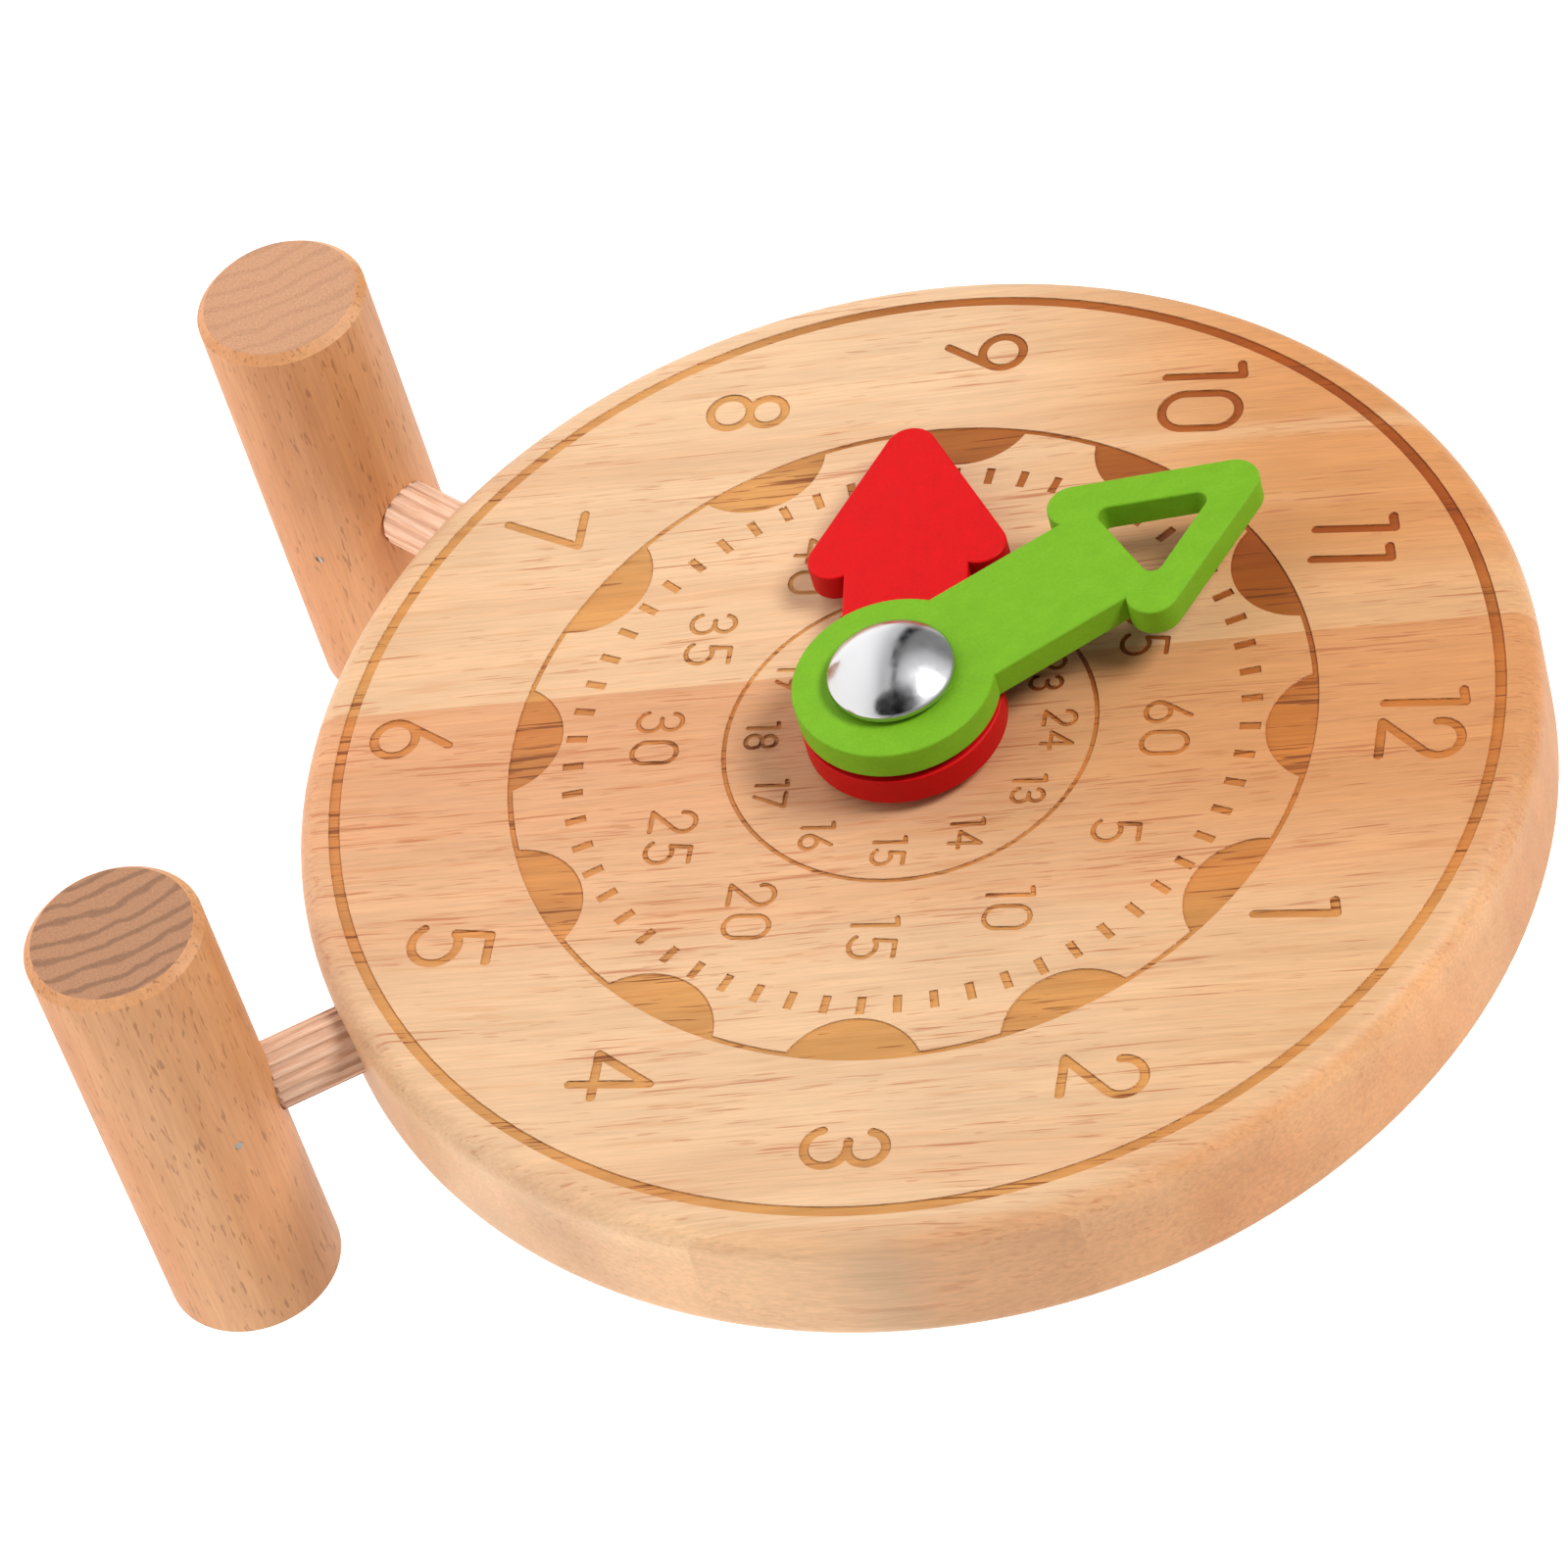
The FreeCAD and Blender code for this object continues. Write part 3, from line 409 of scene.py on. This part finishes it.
def beech(name, centre, end_tone, line_depth, seed):
    """Plain beech with short dark flecks along its y axis, and end grain with its own tone and lines."""
    s = Surface(name)
    place = s.place(centre)
    shift = (seed, seed, seed)
    x, _, z = s.parts(place)
    broad = s.noise(place, BEECH_BROAD_SIZE, detail=2, shift=shift)
    fibres = s.noise(place, BEECH_FIBRE_SIZE, detail=3, roughness=0.6, shift=shift)
    flecks = s.noise(place, BEECH_FLECK_SIZE, detail=1, roughness=0.5, shift=shift)
    colour = s.mix(s.step(broad, *MIDDLE), BEECH_PALE, BEECH_DARK)
    colour = s.varied(colour, fibres, MIDDLE, 0.92, 1.06)
    fleck = s.step(flecks, 0.62, 0.70)
    colour = s.mix(s.product(fleck, 0.5), colour, FLECK_BROWN)

    end_grain = s.step(s.facing(), 0.8, 0.97)
    centre_x, centre_z = GROWTH_CENTRE
    rings = s.length(s.joined(s.math("ADD", x, centre_x), 0.0, s.math("ADD", z, centre_z)))
    wobble = s.noise(place, (5, 5, 5), detail=2, shift=shift)
    lines = s.math("SINE", s.math("MULTIPLY_ADD", rings, GROWTH_RATE, s.product(wobble, GROWTH_WOBBLE)))
    specks = s.noise(place, BEECH_SPECK_SIZE, detail=2, roughness=0.7, shift=shift)
    end_colour = s.varied(end_tone, lines, (0.2, 0.95), 1.03, 1.0 - line_depth)
    end_colour = s.varied(end_colour, specks, MIDDLE, 0.86, 1.1)
    colour = s.mix(end_grain, colour, end_colour)

    relief = s.math("SUBTRACT", s.product(fibres, 0.4), s.product(fleck, 0.6))
    s.bump(relief, distance_mm=0.03, strength=0.5)
    rough = s.step(end_grain, 0.0, 1.0, 0.5, 0.7)
    return s.finish(colour, rough, Specular_IOR_Level=0.35)


def dowel_wood(name, node, seed):
    """Raw fluted dowel: splintery fibres along the rod."""
    low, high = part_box(node)
    middle = (low + high) / 2
    lean = math.atan2(middle.x, DIAL_CENTRE.z - middle.z)
    s = Surface(name)
    grain = s.place(middle, lean)
    shift = (seed, seed, seed)
    fibres = s.noise(grain, (0.35, 0.35, 6), detail=3, roughness=0.7, shift=shift)
    streaks = s.noise(grain, (1.2, 1.2, 14), detail=2, shift=shift)
    # Pale tones, partly the raw beech's own and partly painted light that lifts the dowels out of the shade
    # beside the dial; the right dowel is darker by painted shade.
    painted_shade = RIGHT_DOWEL_PAINTED_SHADE if middle.x > 0 else 0.0
    colour = s.mix(s.step(fibres, *MIDDLE), shade(222 - painted_shade, 178 - painted_shade, 148 - painted_shade),
                   shade(246 - painted_shade, 212 - painted_shade, 186 - painted_shade))
    colour = s.varied(colour, streaks, MIDDLE, 0.9, 1.05)
    s.bump(fibres, distance_mm=0.08, strength=0.7)
    return s.finish(colour, 0.75, Specular_IOR_Level=0.25)


# ---- paint, metal and plastic ----------------------------------------------------------------------

RED_PAINT = shade(203, 10, 15)
GREEN_PAINT = shade(113, 167, 33)
BLACK_NYLON = shade(38, 36, 34)
CHROME = (0.53, 0.53, 0.54, 1.0)
ZINC_BRIGHT = (0.42, 0.41, 0.39, 1.0)
ZINC_DULL = (0.36, 0.355, 0.34, 1.0)
BRAD_STEEL = (0.36, 0.34, 0.32, 1.0)

# The pivot post in mm, and how far its cap's edge is softened.
CAP_RISE, CAP_RIM = 2.8, 0.8
POST_RADIUS, THREAD_RADIUS, THREAD_DEPTH = 3.0, 2.0, 13.0
EDGE_IN, EDGE_UP, EDGE_DOWN, UNDER_EDGE = 0.06, 0.04, 0.1, 0.15
DOME_STEPS = 24
LATHE_SEGMENTS = 96
WELD_DISTANCE = 1e-7
SHARP_ANGLE = math.radians(35)


def paint(name, node, colour, side_painted_light_and_shade, seed):
    """Satin paint on thin wood: grain shows through faintly, and the sides get painted light and painted
    shade, which side_painted_light_and_shade sets.
    """
    centre = sum((v.co for v in nodes[node].data.vertices), Vector()) / len(nodes[node].data.vertices)
    reach = centre - DIAL_CENTRE
    turn = -math.atan2(reach.x, reach.z)
    s = Surface(name)
    grain = s.place(DIAL_CENTRE, turn)
    shift = (seed, seed, seed)
    fibres = s.noise(grain, (0.4, 0.8, 7), detail=3, roughness=0.6, shift=shift)
    mottle = s.noise(grain, (2.2, 2.2, 3), detail=3, roughness=0.6, shift=shift)
    speckle = s.noise(grain, (0.32, 0.32, 0.4), detail=2, roughness=0.6, shift=shift)
    tone = s.varied(colour, fibres, WIDE, 0.985, 1.015)
    tone = s.varied(tone, mottle, WIDE, 0.96, 1.04)
    tone = s.varied(tone, speckle, MIDDLE, 0.96, 1.05)
    # The sides are multiplied by side_painted_light_and_shade: painted shade where it is below 1 (the red
    # hand), painted light where it is above 1 (the green hand).
    tone = s.varied(tone, s.facing(), (0.2, 0.7), side_painted_light_and_shade, 1.0)
    s.bump(s.math("ADD", s.product(fibres, 0.3), speckle), distance_mm=0.035, strength=0.35)
    rough = s.step(mottle, *WIDE, 0.42, 0.52)
    return s.finish(tone, rough, Specular_IOR_Level=0.12)


def metal(name, colour, roughness, seed):
    """Plated metal with fine wear marks."""
    s = Surface(name)
    place = s.place(DIAL_CENTRE)
    shift = (seed, seed, seed)
    haze = s.noise(place, (2, 2, 2), detail=3, roughness=0.6, shift=shift)
    scratches = s.noise(place, (0.06, 0.06, 1.5), detail=2, shift=shift)
    rough = s.step(haze, *MIDDLE, roughness * 0.7, roughness * 1.4)
    s.bump(scratches, distance_mm=0.002, strength=0.2)
    tone = s.varied(colour, haze, MIDDLE, 0.97, 1.0)
    return s.finish(tone, rough, Metallic=1.0)


def nylon(name, colour, seed):
    """Moulded dark plastic with a fine grain."""
    s = Surface(name)
    grit = s.noise(s.place(DIAL_CENTRE), (0.2, 0.2, 0.2), detail=2, shift=(seed, seed, seed))
    tone = s.varied(colour, grit, WIDEST, 0.85, 1.15)
    s.bump(grit, distance_mm=0.01, strength=0.4)
    return s.finish(tone, 0.5, Specular_IOR_Level=0.4)


def dress(node, material):
    """Gives a CAD node's material slots one material."""
    slots = nodes[node].material_slots
    if not slots:
        nodes[node].data.materials.append(material)
    for slot in slots:
        slot.material = material


def lathe(name, profile, material):
    """A solid turned on the pivot's axis; profile is (radius, distance behind the dial's face) in mm."""
    count = len(profile)
    points, faces = [], []
    for i in range(LATHE_SEGMENTS):
        angle = 2 * math.pi * i / LATHE_SEGMENTS
        for radius, depth in profile:
            offset = Vector((radius * math.sin(angle), depth, radius * math.cos(angle)))
            points.append(DIAL_CENTRE + offset * MM)
    for i in range(LATHE_SEGMENTS):
        a, b = i * count, (i + 1) % LATHE_SEGMENTS * count
        for j in range(count - 1):
            faces.append((a + j, b + j, b + j + 1, a + j + 1))
    mesh = bpy.data.meshes.new(name)
    mesh.from_pydata(points, [], faces)
    form = bmesh.new()
    form.from_mesh(mesh)
    bmesh.ops.remove_doubles(form, verts=form.verts, dist=WELD_DISTANCE)
    bmesh.ops.dissolve_degenerate(form, edges=form.edges, dist=WELD_DISTANCE)
    bmesh.ops.recalc_face_normals(form, faces=form.faces)
    form.to_mesh(mesh)
    form.free()
    mesh.shade_smooth()
    mesh.set_sharp_from_angle(angle=SHARP_ANGLE)
    mesh.materials.append(material)
    piece = bpy.data.objects.new(name, mesh)
    bpy.context.scene.collection.objects.link(piece)
    return piece


def chromed_post(material):
    """The pivot post with a smooth, polished dome: the CAD node's own sizes, its rim softened."""
    low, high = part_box("pivot_post")
    radius = (high.x - low.x) / 2 / MM
    apex, end = ((value - DIAL_CENTRE.y) / MM for value in (low.y, high.y))
    ball = (radius ** 2 + CAP_RISE ** 2) / (2 * CAP_RISE)
    rim_angle = math.asin(radius / ball)
    profile = []
    for i in range(DOME_STEPS):
        angle = rim_angle * i / DOME_STEPS
        profile.append((ball * math.sin(angle), apex + ball * (1 - math.cos(angle))))
    rim, under = apex + CAP_RISE, apex + CAP_RISE + CAP_RIM
    profile += [(radius - EDGE_IN, rim - EDGE_UP), (radius, rim + EDGE_DOWN)]
    profile += [(radius, under - UNDER_EDGE), (radius - UNDER_EDGE, under), (POST_RADIUS, under)]
    profile += [(POST_RADIUS, end), (THREAD_RADIUS, end)]
    profile += [(THREAD_RADIUS, end - THREAD_DEPTH), (0.0, end - THREAD_DEPTH)]
    return lathe("chromed_post", profile, material)


def dress_object():
    dress("dial_board_left", board_wood("pale_board", seed=3.0, tones=left_board))
    dress("dial_board_middle", board_wood("rosy_board", seed=11.0, tones=middle_board))
    dress("dial_board_right", board_wood("edge_strip", seed=23.0, tones=right_board))
    for side, seed in (("left", 5.0), ("right", 17.0)):
        low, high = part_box("foot_" + side)
        end_tone, line_depth = END_GRAIN[side]
        dress("foot_" + side, beech("foot_beech_" + side, (low + high) / 2, end_tone, line_depth, seed))
        dress("foot_dowel_" + side, dowel_wood("dowel_beech_" + side, "foot_dowel_" + side, seed))
        dress("foot_brad_" + side, metal("brad_steel_" + side, BRAD_STEEL, roughness=0.45, seed=seed))
    dress("hour_hand", paint("red_paint", "hour_hand", RED_PAINT, side_painted_light_and_shade=0.8, seed=29.0))
    dress("minute_hand", paint("green_paint", "minute_hand", GREEN_PAINT, side_painted_light_and_shade=1.1, seed=31.0))
    post = chromed_post(metal("chrome", CHROME, roughness=0.18, seed=37.0))
    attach(post, "root")
    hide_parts("pivot_post")
    dress("pivot_screw", metal("zinc_screw", ZINC_BRIGHT, roughness=0.28, seed=41.0))
    dress("back_washer", metal("zinc_washer", ZINC_DULL, roughness=0.34, seed=43.0))
    black = nylon("black_nylon", BLACK_NYLON, seed=47.0)
    for node in ("dial_washer", "hand_washer", "head_washer"):
        dress(node, black)


# ---- floor, light and camera -----------------------------------------------------------------------

FLOOR_HALF = 6.0
FLOOR_GREY = (0.46, 0.46, 0.46, 1.0)
FLOOR_AS_SEEN = 0.85

# The floor's glow: its middle, its strength, how far it reaches in mm, and where it dims, to the front left.
GLOW_CENTRE, GLOW, GLOW_REACH = Vector((-0.32, 0.45, 0)), 1.14, (560, 960)
DIM_CENTRE, DIM_AIM, DIM_REACH, DIM_GLOW = Vector((-0.03, -0.10, 0)), (-0.70, -0.72), (20.0, 260.0), 0.35

CARD_BLACK = (0.01, 0.01, 0.01, 1.0)
CARD_CENTRE = Vector((0.1, -0.172, 0.093))
CARD_ACROSS, CARD_UP = Vector((0.056, 0.03, 0)), Vector((0.004, -0.008, 0.078))
CARD_CORNERS = 24
CAMERA_CARD = [CARD_CENTRE + CARD_ACROSS * math.cos(math.tau * i / CARD_CORNERS)
               + CARD_UP * math.sin(math.tau * i / CARD_CORNERS) for i in range(CARD_CORNERS)]
LOW_CARD = [(-0.85, 0.0, 0.0), (-0.77, -0.36, 0.0), (-0.77, -0.36, 0.09), (-0.85, 0.0, 0.09)]
FRONT_LOW_CARD = [(-0.77, -0.36, 0.0), (-0.26, -0.81, 0.0), (-0.26, -0.81, 0.09), (-0.77, -0.36, 0.09)]

# The key light, seen from the dial's centre.
KEY_AIM = Vector((-0.08, -0.76, 0.64))
KEY_DISTANCE, KEY_WIDTH, KEY_HEIGHT, KEY_ENERGY = 1.35, 0.6, 0.5, 16.5

# The room's light: about the key light, below the horizon, in a dark corner, and to each kind of ray.
ROOM_DIM, ROOM_NEAR_KEY = 0.28, (0.6, 0.98)
BELOW_HORIZON, HORIZON = 0.05, (-0.02, 0.06)
DARK_AIM, DARK_REACH, DARK = (0.45, -0.85, 0.1), (0.85, 0.97), 0.1
ROOM_ON_SURFACES, ROOM_IN_REFLECTIONS = 0.2, 1.25
BACKDROP, BACKDROP_SIDE, BACKDROP_MIDDLE, BACKDROP_DIP = 1.85, (-0.05, 0.3), (0.4, 0.9), 0.5

CAMERA_AZIMUTH, CAMERA_ELEVATION = math.radians(39.98), math.radians(14.55)
CAMERA_ROLL = math.radians(88.95)
CAMERA_DISTANCE = 0.779
CAMERA_TARGET = DIAL_CENTRE + Vector((6.4, 0.8, -13.5)) * MM
LENS, SENSOR_WIDTH = 162.06, 36.0
CLIP_START, CLIP_END = 0.05, 30.0


def flat_mesh(name, corners):
    """One flat face that belongs to the stage."""
    mesh = bpy.data.meshes.new(name)
    mesh.from_pydata(corners, [], [tuple(range(len(corners)))])
    plane = bpy.data.objects.new(name, mesh)
    bpy.context.scene.collection.objects.link(plane)
    return plane


def floor():
    """A large pale table that glows softly under and behind the clock, as a light table does."""
    half = FLOOR_HALF
    plane = flat_mesh("floor", [(-half, -half, 0), (half, -half, 0), (half, half, 0), (-half, half, 0)])
    s = Surface("pale_floor")
    distance = s.length(s.place(GLOW_CENTRE))
    x, y, _ = s.parts(s.place(DIM_CENTRE))
    aim_x, aim_y = DIM_AIM
    to_front_left = s.math("ADD", s.product(x, aim_x), s.product(y, aim_y))
    glow = s.product(s.step(distance, *GLOW_REACH, GLOW, 0.0),
                     s.step(to_front_left, *DIM_REACH, 1.0, DIM_GLOW))
    mottle = s.noise(s.place(ORIGIN), (60, 60, 60), detail=3)
    colour = s.varied(FLOOR_GREY, mottle, WIDEST, 0.99, 1.01)
    seen = s.product(s.add("ShaderNodeLightPath").outputs["Is Camera Ray"], FLOOR_AS_SEEN)
    s.feed(s.shader.inputs["Emission Strength"], s.math("MAXIMUM", glow, seen))
    plane.data.materials.append(s.finish(colour, 0.9, Specular_IOR_Level=0.1, Emission_Color=(1, 1, 1, 1)))


def dark_cards():
    """Dark cards that only reflections show, where a camera and the edges of a table would be."""
    s = Surface("dark_card")
    weave = s.noise(s.place(ORIGIN), (2, 2, 2))
    material = s.finish(s.lighten(CARD_BLACK, weave), 0.9, Specular_IOR_Level=0.0)
    corners = {"camera_card": CAMERA_CARD, "low_card": LOW_CARD, "front_low_card": FRONT_LOW_CARD}
    for name, points in corners.items():
        card = flat_mesh(name, points)
        card.data.materials.append(material)
        card.visible_camera = False
        card.visible_diffuse = False
        card.visible_shadow = False
        card.visible_transmission = False


def studio_room():
    """A dim room in front with a dark horizon, a white backdrop behind, and white to the camera."""
    world = bpy.data.worlds.new("studio")
    world.use_nodes = True
    g = Graph(world.node_tree)
    direction = g.coordinates.outputs["Generated"]
    _, y, z = g.parts(direction)

    def towards(aim, reach, start, end):
        """A smooth step from start to end as a direction comes nearer to an aim."""
        closeness = g.fed("ShaderNodeVectorMath", direction, Vector(aim).normalized(),
                          operation="DOT_PRODUCT")
        return g.step(closeness.outputs["Value"], *reach, start, end)

    rays = g.add("ShaderNodeLightPath").outputs
    room = towards(KEY_AIM, ROOM_NEAR_KEY, ROOM_DIM, 1.0)
    room = g.product(room, g.step(z, *HORIZON, BELOW_HORIZON, 1.0))
    room = g.product(room, towards(DARK_AIM, DARK_REACH, 1.0, DARK))
    room = g.product(room, g.step(rays["Is Glossy Ray"], 0.0, 1.0, ROOM_ON_SURFACES, ROOM_IN_REFLECTIONS))
    backdrop = g.product(g.step(y, *BACKDROP_SIDE, 0.0, BACKDROP),
                         g.step(y, *BACKDROP_MIDDLE, 1.0, BACKDROP_DIP))
    strength = g.math("MAXIMUM", g.math("MAXIMUM", room, backdrop), rays["Is Camera Ray"])
    background = g.tree.nodes["Background"]
    g.feed(background.inputs["Strength"], strength)
    g.feed(background.inputs["Color"], (1, 1, 1, 1))
    bpy.context.scene.world = world


def key_light():
    """A soft oval light that faces the dial."""
    light = bpy.data.lights.new("key_softbox", "AREA")
    light.shape = "ELLIPSE"
    light.size = KEY_WIDTH
    light.size_y = KEY_HEIGHT
    light.energy = KEY_ENERGY
    lamp = bpy.data.objects.new("key_softbox", light)
    bpy.context.scene.collection.objects.link(lamp)
    lamp.location = DIAL_CENTRE + KEY_AIM * KEY_DISTANCE
    lamp.rotation_euler = (DIAL_CENTRE - lamp.location).to_track_quat("-Z", "Y").to_euler()


def camera():
    """The camera: azimuth and elevation round a point of the clock, turned about its own axis."""
    data = bpy.data.cameras.new("camera")
    data.lens = LENS
    data.sensor_width = SENSOR_WIDTH
    data.clip_start = CLIP_START
    data.clip_end = CLIP_END
    view = bpy.data.objects.new("camera", data)
    bpy.context.scene.collection.objects.link(view)
    azimuth, elevation = CAMERA_AZIMUTH, CAMERA_ELEVATION
    back = Vector((math.cos(elevation) * math.sin(azimuth), -math.cos(elevation) * math.cos(azimuth),
                   math.sin(elevation)))
    right = Vector((math.cos(azimuth), math.sin(azimuth), 0))
    up = back.cross(right)
    axes = Matrix((right, up, back)).transposed() @ Matrix.Rotation(CAMERA_ROLL, 3, "Z")
    view.matrix_world = Matrix.Translation(CAMERA_TARGET + back * CAMERA_DISTANCE) @ axes.to_4x4()
    bpy.context.scene.camera = view


# ---- scene -----------------------------------------------------------------------------------------

dress_object()
floor()
dark_cards()
studio_room()
key_light()
camera()
bpy.context.scene.view_settings.view_transform = "Standard"
